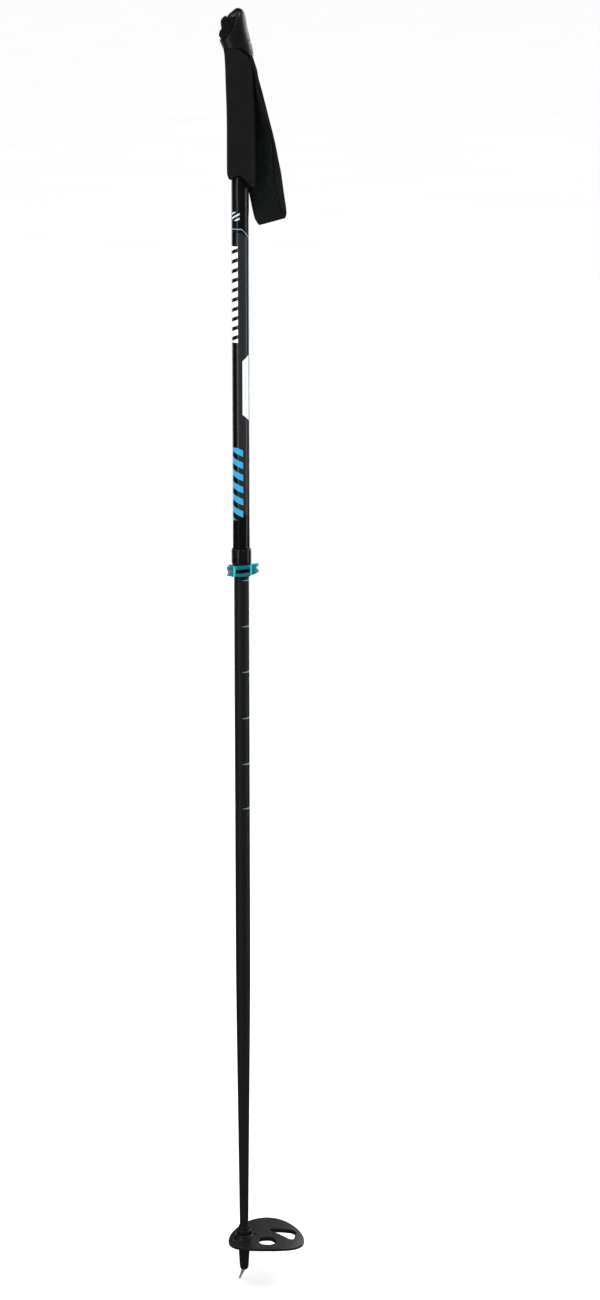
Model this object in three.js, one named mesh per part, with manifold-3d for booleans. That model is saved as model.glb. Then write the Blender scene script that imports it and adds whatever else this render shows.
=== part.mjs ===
// A length-adjustable ski pole, drawn at its longest setting, in millimetres with +Z up.
// Upper tube with grip, wrist strap and lever clamp; lower tube with basket, ferrule and spike.
// Inside this file the shaft axis is x = y = 0. +X is the back, where the strap hangs and the
// basket is long, and -X is the front, where the spike bends to. The whole pole is shifted at
// the end so that the origin is the end of the spike.

import * as THREE from 'three';
import { mergeVertices } from 'three/addons/utils/BufferGeometryUtils.js';
import Module from 'manifold-3d';

const wasm = await Module();
wasm.setup();

// ---- driving dimensions -------------------------------------------------------------------

const FIT = 0.3;                  // gap between neighbouring pieces
const ROUND = 40;                 // facets round a tube
const SMALL_ROUND = 24;           // facets round a pin or screw

const POLE_LENGTH = 1397;         // spike end to grip top, at the longest setting
const UPPER_R = 9.0;
const UPPER_WALL = 0.7;
const UPPER_BOTTOM = 826;
const UPPER_TOP = 1339;
const LOWER_R = 8.0;
const LOWER_WALL = 0.8;
const LOWER_TOP = 930;            // inside the upper tube
const LOWER_BOTTOM = 44;
const TAPER_TOP = 400;
const TAPER_MIDDLE = { z: 311, r: 7.5 };
const TAPER_FOOT = { z: 62, r: 4.8 };

const HOUSING_R = 10.0;
const HOUSING_BOTTOM = 812;
const HOUSING_TOP = 845;
const LINER_BOTTOM = 812.6;
const PIVOT = { x: -11.8, y: -7.4 };     // the lever's upright pivot
const PIVOT_R = 2.0;
const KNUCKLE_R = 3.5;
const LEVER_BOTTOM = 814;
const LEVER_TOP = 825.4;
const SCREW_Z = 818.4;
const SCREW_R = 1.5;
const EAR_BOTTOM = 815;
const EAR_TOP = 821.8;

const HEAD_HALF_WIDTH = 13.4;
const SEAM_Z = 1357.5;            // seam between head and foam
const STRAP_HALF_WIDTH = 7.2;     // the webbing is folded narrow inside the head
const STRAP_THICK = 3.2;
const STRAP_PIVOT = { x: 17.9, z: 1345 };
const STRAP_BOTTOM = 1182.5;      // the fold's lowest point, at the webbing's inner edge
const STRAP_SLOPE = 0.28;         // the fold rises this much per millimetre to the back
const STRAP_INNER_X = 17;

const LOCK_CENTRE = { x: -14, z: 1378 };
const LOCK_TURN = Math.atan2(0.6, 0.8);  // the wedge slides up and to the front
const LOCK_HALF_WIDTH = 7.0;      // its stem, between the head's cheeks
const LOCK_CAP_HALF_WIDTH = 10.0; // its cap, in front of them

const BASKET_CENTRE_X = 25;
const BASKET_RX = 42.6;
const BASKET_RY = 40.5;
const BASKET_END_Z = 46.5;        // top face at its front and back ends
const BASKET_RISE = 8.9;          // the plate arches up by this in its middle
const PLATE_THICK = 2.6;
const RIM_DEPTH = 4.2;
const RIM_WIDTH = 2.2;
const WINDOW_WALL_DEPTH = 5.4;
const WINDOW_WALL = 1.8;
const HUB_TOP = 61;
const HUB_BORE_R = 6.5;

const FERRULE_R = 6.2;
const FERRULE_TOP = 65;
const FERRULE_BOTTOM = 12;
const SPIKE_R = 1.5;
const SPIKE_SET = 5.5;            // the spike's end lies this far in front of the shaft axis
const SPIKE_TOP = 25;

// ---- solids -------------------------------------------------------------------------------

// A closed three.js geometry as a manifold solid: shared vertices merged, slivers dropped.
function solid(geometry) {
  const bare = geometry.clone();
  bare.deleteAttribute('normal');
  bare.deleteAttribute('uv');
  const merged = mergeVertices(bare, 1e-4);
  const corners = merged.index.array;
  const kept = [];
  for (let i = 0; i < corners.length; i += 3) {
    const [a, b, c] = [corners[i], corners[i + 1], corners[i + 2]];
    if (a !== b && b !== c && c !== a) kept.push(a, b, c);
  }
  return new wasm.Manifold(new wasm.Mesh({
    numProp: 3,
    vertProperties: new Float32Array(merged.attributes.position.array),
    triVerts: new Uint32Array(kept),
  }));
}

function geometryOf(shape) {
  const mesh = shape.getMesh();
  const geometry = new THREE.BufferGeometry();
  geometry.setAttribute('position', new THREE.BufferAttribute(mesh.vertProperties, 3));
  geometry.setIndex(new THREE.BufferAttribute(mesh.triVerts, 1));
  return geometry;
}

const join = (...shapes) => shapes.reduce((all, one) => all.add(one));
const cut = (body, ...tools) => tools.reduce((rest, tool) => rest.subtract(tool), body);

// A solid turned about an upright axis from [radius, z] points; the profile runs up its outer side.
function turned(profile, facets = ROUND, axis = { x: 0, y: 0 }) {
  const points = profile.map(([r, z]) => new THREE.Vector2(r, z));
  return solid(new THREE.LatheGeometry(points, facets).rotateX(Math.PI / 2).translate(axis.x, axis.y, 0));
}

function rod(r, low, high, facets, axis) {
  return turned([[0, low], [r, low], [r, high], [0, high]], facets, axis);
}

function ring(inner, outer, low, high, facets = ROUND) {
  return turned([[inner, low], [outer, low], [outer, high], [inner, high], [inner, low]], facets);
}

function polygon(points) {
  return new THREE.Shape(points.map(([x, y]) => new THREE.Vector2(x, y)));
}

// An outline in x and y, raised from low to high.
function upright(shape, low, high, facets = 12) {
  const options = { depth: high - low, bevelEnabled: false, curveSegments: facets };
  return solid(new THREE.ExtrudeGeometry(shape, options).translate(0, 0, low));
}

// An outline in x and z, drawn out along Y.
function sideways(shape, from, to, facets = 12) {
  const options = { depth: to - from, bevelEnabled: false, curveSegments: facets };
  return solid(new THREE.ExtrudeGeometry(shape, options).rotateX(Math.PI / 2).translate(0, to, 0));
}

// An outline in y and z, drawn out along X, and rising by slope per millimetre as it goes.
function endways(shape, from, to, facets = 12, slope = 0) {
  const options = { depth: to - from, bevelEnabled: false, curveSegments: facets };
  const geometry = new THREE.ExtrudeGeometry(shape, options);
  geometry.rotateX(Math.PI / 2).rotateZ(Math.PI / 2);
  geometry.applyMatrix4(new THREE.Matrix4().makeShear(0, slope, 0, 0, 0, 0));
  return solid(geometry.translate(from, 0, 0));
}

function box(x0, x1, y0, y1, z0, z1) {
  const geometry = new THREE.BoxGeometry(x1 - x0, y1 - y0, z1 - z0);
  return solid(geometry.translate((x0 + x1) / 2, (y0 + y1) / 2, (z0 + z1) / 2));
}

// A pin along Y.
function crossPin(x, z, r, from, to) {
  const geometry = new THREE.CylinderGeometry(r, r, to - from, SMALL_ROUND);
  return solid(geometry.translate(x, (from + to) / 2, 0).translate(0, 0, z));
}

function ellipse(x, rx, ry) {
  const shape = new THREE.Shape();
  shape.absellipse(x, 0, rx, ry, 0, Math.PI * 2, false);
  return shape;
}

// A teardrop round two circles, [x, y, r] each, with straight flanks.
function teardrop([x1, y1, r1], [x2, y2, r2]) {
  const heading = Math.atan2(y2 - y1, x2 - x1);
  const lean = Math.acos((r1 - r2) / Math.hypot(x2 - x1, y2 - y1));
  const shape = new THREE.Shape();
  shape.absarc(x1, y1, r1, heading + lean, heading + Math.PI * 2 - lean, false);
  shape.absarc(x2, y2, r2, heading - lean, heading + lean, false);
  return shape;
}

// ---- materials ----------------------------------------------------------------------------

function finish(color, roughness, metalness = 0) {
  return () => new THREE.MeshStandardMaterial({ color, roughness, metalness });
}

const GLOSS_BLACK = finish('#0d0e12', 0.2);
const SATIN_BLACK = finish('#1b1c1f', 0.45);
const BLACK_PLASTIC = finish('#202225', 0.5);
const CHARCOAL_FOAM = finish('#3a3b3e', 0.9);
const BLACK_WEBBING = finish('#1d2024', 0.95);
const TEAL_ANODISED = finish('#4fb5bd', 0.35, 0.9);
const BARE_STEEL = finish('#9a9ca0', 0.35, 1);
const WHITE_NYLON = finish('#d8d8d2', 0.6);

const pole = new THREE.Group();

function place(name, shape, material) {
  const mesh = new THREE.Mesh(geometryOf(shape), material());
  mesh.name = name;
  mesh.position.x = SPIKE_SET;
  pole.add(mesh);
}

// ---- tubes --------------------------------------------------------------------------------

function upperTube() {
  return ring(UPPER_R - UPPER_WALL, UPPER_R, UPPER_BOTTOM, UPPER_TOP);
}

// A press-in plug: its stem fills the tube and its rim sits on the tube's end.
function topPlug() {
  const stemR = UPPER_R - UPPER_WALL - FIT;
  const stemBottom = UPPER_TOP - 14;
  return turned([
    [0, stemBottom], [stemR, stemBottom], [stemR, UPPER_TOP + FIT],
    [UPPER_R, UPPER_TOP + FIT], [UPPER_R, UPPER_TOP + 2], [0, UPPER_TOP + 2],
  ]);
}

function lowerTube() {
  const outer = [
    [TAPER_FOOT.r - 0.2, LOWER_BOTTOM], [TAPER_FOOT.r, TAPER_FOOT.z],
    [TAPER_MIDDLE.r, TAPER_MIDDLE.z], [LOWER_R, TAPER_TOP], [LOWER_R, LOWER_TOP],
  ];
  const inner = outer.map(([r, z]) => [r - LOWER_WALL, z]).reverse();
  return turned([...outer, ...inner, outer[0]]);
}

// The bush on the lower tube's top end, which keeps it straight in the upper tube.
function guideBush() {
  const stemR = LOWER_R - LOWER_WALL - FIT;
  const flangeR = UPPER_R - UPPER_WALL - 0.15;
  const stemBottom = LOWER_TOP - 18;
  const top = LOWER_TOP + 7;
  return turned([
    [3, stemBottom], [stemR, stemBottom], [stemR, LOWER_TOP + FIT], [flangeR, LOWER_TOP + FIT],
    [flangeR, top - 1], [flangeR - 1, top], [3, top], [3, stemBottom],
  ]);
}

// ---- grip ---------------------------------------------------------------------------------

// The front edge of the head's cheeks, from the chin up to the hood.
const cheekEdge = [
  [-14.9, 1367.4], [-10.3, 1373.4], [-7, 1378], [-5.2, 1383.2], [-4, 1387.4], [-3.2, 1390.4],
];

function headOutline() {
  const shape = new THREE.Shape();
  shape.moveTo(-15.2, SEAM_Z);
  shape.quadraticCurveTo(-16.6, 1362, -19.0, 1366.0);
  shape.splineThru(cheekEdge.map(([x, z]) => new THREE.Vector2(x, z)));
  shape.lineTo(-11.6, 1390.4);
  shape.lineTo(-12.2, 1391.4);
  shape.quadraticCurveTo(-6.5, 1396.6, -1.8, POLE_LENGTH);
  shape.quadraticCurveTo(3.2, 1396.4, 4.9, 1389.5);
  shape.quadraticCurveTo(6.6, 1377, 10.6, 1368);
  shape.lineTo(12.4, 1358);
  shape.lineTo(13.6, 1346.8);
  shape.lineTo(8, 1353.8);
  shape.lineTo(2, SEAM_Z + FIT);
  shape.lineTo(-15.2, SEAM_Z + FIT);
  return shape;
}

function headFront() {
  const shape = new THREE.Shape();
  shape.moveTo(-HEAD_HALF_WIDTH, 1340);
  shape.lineTo(HEAD_HALF_WIDTH, 1340);
  shape.lineTo(HEAD_HALF_WIDTH, 1368);
  shape.quadraticCurveTo(HEAD_HALF_WIDTH - 0.6, 1394, 4, POLE_LENGTH + 0.2);
  shape.lineTo(-4, POLE_LENGTH + 0.2);
  shape.quadraticCurveTo(-HEAD_HALF_WIDTH + 0.6, 1394, -HEAD_HALF_WIDTH, 1368);
  return shape;
}

// The lock's own directions: s runs out along its slide, n across it, up and to the back.
function lockPoint(s, n) {
  const [sin, cos] = [Math.sin(LOCK_TURN), Math.cos(LOCK_TURN)];
  return [LOCK_CENTRE.x - s * sin + n * cos, LOCK_CENTRE.z + s * cos + n * sin];
}

const lockShape = (points) => polygon(points.map(([s, n]) => lockPoint(s, n)));

// A wedge with a narrow stem between the cheeks and a wide cap in front of them.
function strapLock() {
  const profile = lockShape([
    [-11, -8], [-4.8, -8.6], [0, -8.2], [2.4, -5.4], [3.0, -3.6], [2.2, -2.4], [4.4, -1.4],
    [9.2, 1.6], [10, 3.4], [8.2, 6.6], [4.6, 8], [-5, 8], [-9, 4],
  ]);
  const stem = sideways(profile, -LOCK_HALF_WIDTH, LOCK_HALF_WIDTH);
  const besideCheek = cheekEdge.map(([x, z]) => [x - 0.5, z + FIT]);
  const cheek = polygon([[30, 1300], [-18.4, 1300], [-18.4, 1367], ...besideCheek, [30, 1391]]);
  const cap = sideways(profile, -LOCK_CAP_HALF_WIDTH, LOCK_CAP_HALF_WIDTH);
  return join(stem, cap.subtract(sideways(cheek, -30, 30)));
}

function lockRecess() {
  const profile = lockShape([
    [-11.4, -8.4], [-5, -9], [30, -9], [30, 8.6], [9.5, 8.6], [3, 13.6], [-4, 12.8], [-9, 8.6],
    [-11.4, 4.4],
  ]);
  return sideways(profile, -LOCK_HALF_WIDTH - FIT, LOCK_HALF_WIDTH + FIT);
}

// The strap's way through the head, from behind the wedge down to the back of the seam.
const strapRoute = [[-7.0, 1388.4], [-3.4, 1382], [0.4, 1372.5], [5.6, 1361], [10.4, 1352.6], [14.9, 1346.6]];

// A strip of the given thickness round a route in x and z.
function strip(route, thick) {
  const sides = { left: [], right: [] };
  route.forEach(([x, z], i) => {
    const before = route[Math.max(i - 1, 0)];
    const after = route[Math.min(i + 1, route.length - 1)];
    const run = Math.hypot(after[0] - before[0], after[1] - before[1]);
    const across = [(after[1] - before[1]) / run, -(after[0] - before[0]) / run];
    sides.left.push([x - across[0] * thick / 2, z - across[1] * thick / 2]);
    sides.right.unshift([x + across[0] * thick / 2, z + across[1] * thick / 2]);
  });
  return polygon([...sides.left, ...sides.right]);
}

const STRAP_PIN = { x: 6.6, z: 1366.5, r: 1.5 };

function gripHead() {
  const side = sideways(headOutline(), -20, 20, 6);
  const front = endways(headFront(), -30, 30, 6);
  const plan = upright(ellipse(-3.5, 18, HEAD_HALF_WIDTH + 0.6), 1340, 1400, 20);
  const slotRoute = [...strapRoute, [18, 1341.4]];
  const slotHalfWidth = STRAP_HALF_WIDTH + FIT;
  const slot = sideways(strip(slotRoute, STRAP_THICK + 2 * FIT), -slotHalfWidth, slotHalfWidth);
  const pinBore = crossPin(STRAP_PIN.x, STRAP_PIN.z, STRAP_PIN.r + FIT, -9.3, 9.3);
  const body = side.intersect(front).intersect(plan);
  const tubeRoom = rod(UPPER_R + FIT, 1330, UPPER_TOP + 2 + FIT);
  return cut(body, tubeRoom, lockRecess(), slot, pinBore);
}

function strapAnchor() {
  return sideways(strip(strapRoute, STRAP_THICK), -STRAP_HALF_WIDTH, STRAP_HALF_WIDTH);
}

function strapPin() {
  return crossPin(STRAP_PIN.x, STRAP_PIN.z, STRAP_PIN.r, -9, 9);
}

function gripFoam() {
  const side = polygon([
    [-15.2, 1357.2], [-14.6, 1335], [-13.3, 1290], [-13.3, 1237], [-12.4, 1233], [-9.6, 1230.5],
    [-4.5, 1233.8], [-1.5, 1235], [1.6, 1233.6], [14.6, 1219.2], [15.9, 1221.6],
    [15.9, 1341.6], [12.6, 1346.4], [8, 1352.4], [2, 1357.2],
  ]);
  const round = upright(ellipse(0.3, 15.7, 14.4), 1210, 1370, 20);
  const tubeRoom = rod(UPPER_R + FIT, 1200, 1380);
  const strapRoom = sideways(strip([[11, 1352], [14.2, 1347], [19, 1340.2]], STRAP_THICK + 2 * FIT),
    -STRAP_HALF_WIDTH - FIT, STRAP_HALF_WIDTH + FIT);
  return cut(sideways(side, -20, 20).intersect(round), tubeRoom, strapRoom);
}

// The wrist loop: two runs of webbing, close together at the head and joined by a slanting fold
// below, with a short neck at the top that turns where the strap leaves the head.
function strapLoop() {
  const [top, low] = [STRAP_PIVOT.z - 3, STRAP_BOTTOM];
  const loop = (outset) => {
    const shape = new THREE.Shape();
    shape.moveTo(-0.7 - outset, top);
    shape.bezierCurveTo(-2 - outset, top - 30, -7 - outset, top - 60, -7 - outset, low + 45);
    shape.bezierCurveTo(-7 - outset, low + 18, -4 - outset, low - outset, 0.5, low - outset);
    shape.bezierCurveTo(5 + outset, low - outset, 8 + outset, low + 18, 8 + outset, low + 45);
    shape.bezierCurveTo(8 + outset, top - 60, 3 + outset, top - 30, 0.7 + outset, top);
    return endways(shape, STRAP_INNER_X, STRAP_INNER_X + 40, 10, STRAP_SLOPE);
  };
  const room = loop(0).intersect(box(0, 90, -30, 30, 0, top - 6));
  const width = polygon([
    [STRAP_INNER_X, top - 0.5], [19.2, top - 0.5], [46.9, 1193], [46.9, 1170], [STRAP_INNER_X, 1170],
  ]);
  const band = loop(2).subtract(room).intersect(sideways(width, -30, 30));
  const { x, z } = STRAP_PIVOT;
  const neck = sideways(polygon([[x - 1.5, z], [x + 1.5, z], [x + 1.5, z - 7], [x - 1.5, z - 7]]), -5, 5);
  return join(band, neck, crossPin(x, z, 1.5, -5, 5));
}

// ---- clamp --------------------------------------------------------------------------------

function clampHousing() {
  const sleeve = turned([
    [LOWER_R + 1.3, HOUSING_BOTTOM], [HOUSING_R - 0.3, HOUSING_BOTTOM], [HOUSING_R, HOUSING_BOTTOM + 0.6],
    [HOUSING_R, HOUSING_TOP - 4.4], [HOUSING_R - 0.7, HOUSING_TOP], [LOWER_R + 1.3, HOUSING_TOP],
    [LOWER_R + 1.3, HOUSING_BOTTOM],
  ]);
  const nearEar = box(-14.4, -6.5, -3.3, -0.9, EAR_BOTTOM, EAR_TOP);
  const farEar = box(-14.4, -6.5, 0.9, 3.8, EAR_BOTTOM, EAR_TOP);
  const split = box(-20, -8, -0.9, 0.9, 800, 838);
  const bore = rod(LOWER_R + 1.3, 800, 850);
  const screwHole = crossPin(PIVOT.x, SCREW_Z, SCREW_R + FIT, -20, 20);
  return cut(join(sleeve, nearEar, farEar), split, bore, screwHole);
}

// The plastic liner that the housing squeezes on the lower tube.
function clampLiner() {
  const liner = ring(LOWER_R + FIT, LOWER_R + 1.0, LINER_BOTTOM, UPPER_BOTTOM - FIT);
  return cut(liner, box(-20, 0, -0.5, 0.5, 800, 850));
}

// The lever's plan: knuckle round the pivot, a band round the housing, and a flared finger tab.
function leverPlan() {
  const shape = new THREE.Shape();
  const inner = HOUSING_R + 0.5;
  shape.absarc(0, 0, inner, -0.08, -Math.PI * 0.80, true);
  shape.lineTo(PIVOT.x + 1.0, PIVOT.y - KNUCKLE_R + 0.3);
  shape.quadraticCurveTo(-6.5, -13.2, -0.5, -13.4);
  shape.quadraticCurveTo(7.5, -13.2, 12.2, -7.0);
  shape.quadraticCurveTo(14.6, -3.2, 18.6, 0.4);
  shape.lineTo(17.2, 2.6);
  shape.quadraticCurveTo(13.4, 1.6, 10.9, 0.4);
  return shape;
}

function clampLever() {
  const band = upright(leverPlan(), LEVER_BOTTOM, LEVER_TOP, 16);
  const knuckle = rod(KNUCKLE_R, LEVER_BOTTOM + 0.8, LEVER_TOP - 0.8, SMALL_ROUND, PIVOT);
  const housingRoom = rod(HOUSING_R + 0.4, 800, 850);
  const pivotBore = rod(PIVOT_R + FIT, 800, 850, SMALL_ROUND, PIVOT);
  // The screw's shank stays still as the knuckle turns round it, so its slot runs half way round.
  const screwRoom = rod(KNUCKLE_R + 1.2, SCREW_Z - 2.2, SCREW_Z + 2.2, SMALL_ROUND, PIVOT);
  const closedSide = box(-30, -8.6, PIVOT.y - 1.4, 10, 800, 850);
  const openSide = box(-30, PIVOT.x + 0.8, -30, 10, 800, 850);
  const screwSide = screwRoom.intersect(join(closedSide, openSide));
  const window = sideways(polygon([[-5.2, 818.1], [-5.2, 821.4], [8.8, 821.8], [8.8, 818.3]]), -20, -4);
  const notch = sideways(polygon([[15.4, 820.2], [20, 823.4], [20, 816.2]]), -10, 10);
  const underTab = sideways(polygon([[9, 813], [20, 813], [20, 815.6]]), -20, 10);
  const overTab = sideways(polygon([[9, 826], [20, 826], [20, 824.2]]), -20, 10);
  return cut(join(band, knuckle), housingRoom, pivotBore, screwSide, window, notch, underTab, overTab);
}

// The barrel that the lever turns on; the clamp screw threads into it from the back.
function leverPivotPin() {
  const barrel = rod(PIVOT_R, LEVER_BOTTOM + 0.3, LEVER_TOP - 0.3, SMALL_ROUND, PIVOT);
  return cut(barrel, crossPin(PIVOT.x, SCREW_Z, SCREW_R + FIT, PIVOT.y - 1.2, 0));
}

// A thin plate between the lever's cam and the near ear.
function camPlate() {
  const plate = box(-14.2, -10.4, -3.85, -3.6, EAR_BOTTOM + 0.4, EAR_TOP - 0.4);
  return cut(plate, crossPin(PIVOT.x, SCREW_Z, SCREW_R + FIT, -20, 20));
}

function clampScrew() {
  const shank = crossPin(PIVOT.x, SCREW_Z, SCREW_R, PIVOT.y - 0.9, 5.0);
  const head = crossPin(PIVOT.x, SCREW_Z, 2.5, 5.0, 7.2);
  const slot = box(PIVOT.x - 4, PIVOT.x + 4, 6.3, 8, SCREW_Z - 0.4, SCREW_Z + 0.4);
  return cut(join(shank, head), slot);
}

function screwWasher() {
  return cut(crossPin(PIVOT.x, SCREW_Z, 2.5, 4.1, 4.7), crossPin(PIVOT.x, SCREW_Z, SCREW_R + FIT, 0, 10));
}

// ---- basket, ferrule and spike ------------------------------------------------------------

// The plate's arch, seen from the side: depth below its top face at every point.
function archSlab(depth) {
  const steps = 16;
  const topAt = (t) => {
    const x = BASKET_CENTRE_X + t * (BASKET_RX + 1);
    return [x, BASKET_END_Z + BASKET_RISE * (1 - t * t)];
  };
  const upper = Array.from({ length: steps + 1 }, (_, i) => topAt(-1 + 2 * i / steps));
  const lower = upper.map(([x, z]) => [x, z - depth]).reverse();
  return sideways(polygon([...lower, ...upper].reverse()), -50, 50);
}

const windows = [
  { tip: [27.5, 10.5, 2.2], round: [49, 5.5, 12.2] },    // the long window, behind the hub
  { tip: [19.5, -13.5, 3.6], round: [26, -18.5, 10.3] }, // the short window, at the side
];

function windowHole({ tip, round }, outset) {
  const grown = ([x, y, r]) => [x, y, r + outset];
  return upright(teardrop(grown(tip), grown(round)), 20, 80, 16);
}

function basket() {
  const plate = archSlab(PLATE_THICK);
  const rimWall = upright(ellipse(BASKET_CENTRE_X, BASKET_RX, BASKET_RY), 20, 80, 36)
    .subtract(upright(ellipse(BASKET_CENTRE_X, BASKET_RX - RIM_WIDTH, BASKET_RY - RIM_WIDTH), 10, 90, 36))
    .intersect(archSlab(RIM_DEPTH));
  const outline = upright(ellipse(BASKET_CENTRE_X, BASKET_RX, BASKET_RY), 20, 80, 36);
  const deep = archSlab(WINDOW_WALL_DEPTH);
  const collars = windows.map((window) => deep.intersect(windowHole(window, WINDOW_WALL)));
  const holes = windows.map((window) => windowHole(window, 0));
  const hub = turned([
    [0, 42], [9, 42], [12.6, 50.2], [10.2, 53.4], [8.6, 57], [8.2, HUB_TOP], [0, HUB_TOP],
  ]);
  const body = join(plate.intersect(outline), rimWall, ...collars, hub);
  return cut(body, ...holes, rod(HUB_BORE_R, 20, 80));
}

function tipFerrule() {
  const outer = turned([
    [0, FERRULE_BOTTOM], [3.4, FERRULE_BOTTOM], [4.7, FERRULE_BOTTOM + 2.4], [5.2, FERRULE_BOTTOM + 8],
    [FERRULE_R, 36], [FERRULE_R, FERRULE_TOP - 0.8], [FERRULE_R - 0.6, FERRULE_TOP], [0, FERRULE_TOP],
  ]);
  const socket = rod(TAPER_FOOT.r + 0.4, LOWER_BOTTOM - FIT, 80);
  return cut(outer, socket, spikeRod(SPIKE_R + FIT, SPIKE_TOP + FIT));
}

// A rod from the spike's end up into the ferrule, leaning back onto the shaft axis.
function spikeRod(r, top) {
  const run = new THREE.Vector3(SPIKE_SET, 0, SPIKE_TOP).normalize();
  const geometry = new THREE.CylinderGeometry(r, r, 80, SMALL_ROUND);
  geometry.applyQuaternion(new THREE.Quaternion().setFromUnitVectors(new THREE.Vector3(0, 1, 0), run));
  return solid(geometry.translate(-SPIKE_SET, 0, 0)).intersect(box(-40, 40, -10, 10, 0, top));
}

function spike() {
  const end = { x: -SPIKE_SET, y: 0 };
  const flare = turned([[0, 0], [1.1, 0], [2.4, 5], [2.4, 30], [0, 30]], SMALL_ROUND, end);
  return spikeRod(SPIKE_R, SPIKE_TOP).intersect(flare.add(box(-40, 40, -10, 10, 4, 60)));
}

// ---- the pole -----------------------------------------------------------------------------

place('upper_tube', upperTube(), GLOSS_BLACK);
place('top_plug', topPlug(), WHITE_NYLON);
place('grip_head', gripHead(), BLACK_PLASTIC);
place('grip_foam', gripFoam(), CHARCOAL_FOAM);
place('strap_lock', strapLock(), BLACK_PLASTIC);
place('strap_pin', strapPin(), BARE_STEEL);
place('strap_anchor', strapAnchor(), BLACK_WEBBING);
place('strap_loop', strapLoop(), BLACK_WEBBING);
place('clamp_housing', clampHousing(), BLACK_PLASTIC);
place('clamp_liner', clampLiner(), WHITE_NYLON);
place('clamp_lever', clampLever(), TEAL_ANODISED);
place('lever_pivot_pin', leverPivotPin(), BARE_STEEL);
place('cam_plate', camPlate(), BARE_STEEL);
place('clamp_screw', clampScrew(), BARE_STEEL);
place('screw_washer', screwWasher(), BARE_STEEL);
place('lower_tube', lowerTube(), SATIN_BLACK);
place('guide_bush', guideBush(), WHITE_NYLON);
place('basket', basket(), BLACK_PLASTIC);
place('tip_ferrule', tipFerrule(), BLACK_PLASTIC);
place('spike', spike(), BARE_STEEL);

export default pole;
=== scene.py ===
# %% [markdown]
# # An adjustable ski pole
#
# The pole comes in as a fixed frame of plain CAD solids, in metres, with the spike's end at the
# origin. The frame gives every place and size here. New pieces are modelled in millimetres from
# the shaft's own axis, because that is how a turner or a moulder would measure them, and one
# matrix puts them into the frame.

import bisect
import math

import bmesh
import bpy
from mathutils import Matrix, Vector


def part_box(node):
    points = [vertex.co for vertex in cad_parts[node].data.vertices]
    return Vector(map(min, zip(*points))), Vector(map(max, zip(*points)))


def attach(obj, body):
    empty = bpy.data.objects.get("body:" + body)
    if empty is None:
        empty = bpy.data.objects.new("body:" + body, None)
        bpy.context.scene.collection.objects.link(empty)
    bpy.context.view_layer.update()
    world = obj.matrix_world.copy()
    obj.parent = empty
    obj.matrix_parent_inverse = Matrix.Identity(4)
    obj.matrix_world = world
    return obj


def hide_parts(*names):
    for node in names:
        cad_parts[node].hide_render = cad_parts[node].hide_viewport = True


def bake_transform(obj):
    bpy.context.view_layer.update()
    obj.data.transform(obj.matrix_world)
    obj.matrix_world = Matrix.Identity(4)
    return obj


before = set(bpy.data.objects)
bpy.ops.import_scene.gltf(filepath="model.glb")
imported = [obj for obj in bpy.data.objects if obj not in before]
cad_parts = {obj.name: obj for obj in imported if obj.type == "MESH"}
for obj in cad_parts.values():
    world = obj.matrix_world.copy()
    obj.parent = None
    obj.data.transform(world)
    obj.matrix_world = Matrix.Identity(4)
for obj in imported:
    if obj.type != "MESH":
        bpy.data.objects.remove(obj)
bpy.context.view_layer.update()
tube_low, tube_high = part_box("upper_tube")
SHAFT_X = (tube_low.x + tube_high.x) / 2
PLACE = Matrix.Translation((SHAFT_X, 0, 0)) @ Matrix.Scale(0.001, 4)


def heights(node):
    """A CAD node's lowest and highest z, in millimetres."""
    low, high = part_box(node)
    return low.z * 1000, high.z * 1000


def radius(node):
    """Half a round CAD node's width across the shaft, in millimetres."""
    low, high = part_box(node)
    return (high.y - low.y) * 500


# %% [markdown]
# ## Camera
#
# The pole is more than forty times as long as its grip is wide. A long lens from almost three
# metres away keeps it straight from end to end, and a level a little above the grip's top looks
# down on the basket. The camera stands a little to the right of the shaft.

# %% The camera
CAMERA_SIDE, CAMERA_BACK, CAMERA_HEIGHT = 0.0619, 2.870, 1.4464
TILT, ROLL, LENS = 14, 0.08, 76.89
camera_data = bpy.data.cameras.new("camera")
camera_data.lens = LENS
camera_data.clip_end = 400
camera = bpy.data.objects.new("camera", camera_data)
bpy.context.scene.collection.objects.link(camera)
camera_place = Matrix.Translation((SHAFT_X + CAMERA_SIDE, -CAMERA_BACK, CAMERA_HEIGHT))
tilted = Matrix.Rotation(math.radians(90 - TILT), 4, "X") @ Matrix.Rotation(math.radians(ROLL), 4, "Z")
camera.matrix_world = camera_place @ tilted
bpy.context.scene.camera = camera
bpy.context.scene.view_settings.view_transform = "Standard"
print("camera at", tuple(round(c, 3) for c in camera.matrix_world.translation))

# %% [markdown]
# ## Bench tools
#
# A few small helpers do what every piece needs: turn a profile, cut an outline out along one
# direction, bend a flat grid into a shell, put modifiers to work, and place the finished mesh.

# %% Turned and extruded shapes
def spun(profile, steps=96, closed=False):
    """A shape turned round the shaft axis from [radius, z] points; closed joins the last to the first."""
    shape = bmesh.new()
    corners = [shape.verts.new((r, 0, z)) for r, z in profile]
    pairs = list(zip(corners, corners[1:])) + ([(corners[-1], corners[0])] if closed else [])
    edges = [shape.edges.new(pair) for pair in pairs]
    bmesh.ops.spin(
        shape, geom=corners + edges, cent=(0, 0, 0), axis=(0, 0, 1),
        angle=2 * math.pi, steps=steps, use_merge=True,
    )
    bmesh.ops.remove_doubles(shape, verts=shape.verts, dist=1e-4)
    bmesh.ops.recalc_face_normals(shape, faces=shape.faces)
    return shape


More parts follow.
